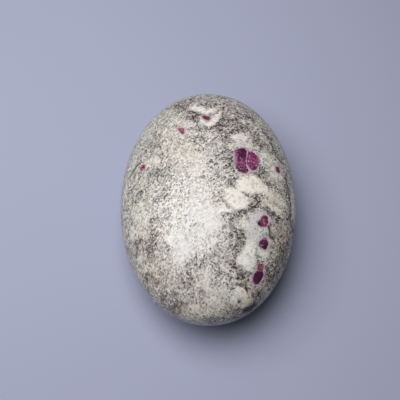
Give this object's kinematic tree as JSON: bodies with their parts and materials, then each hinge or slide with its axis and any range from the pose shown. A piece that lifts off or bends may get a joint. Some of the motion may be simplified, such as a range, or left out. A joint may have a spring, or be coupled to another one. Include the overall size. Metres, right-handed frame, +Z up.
{
  "type": "ruby in albite palm stone",
  "caption": "Polished oval palm stone of speckled white albite with purple-red ruby crystals ground flush in its surface, resting on a small flat spot.",
  "frame": {"origin": "middle of the small flat spot that the stone rests on, at the bottom of its box", "axes": "+Z up, out of the broad face that holds the large ruby; +Y along the stone's long axis; +X along its short axis"},
  "size_m": [0.0495, 0.0693, 0.0267],
  "materials": {
    "albite": "gloss",
    "ruby": "polished"
  },
  "bodies": {
    "root": {"stone": "albite"}
  },
  "joints": []
}
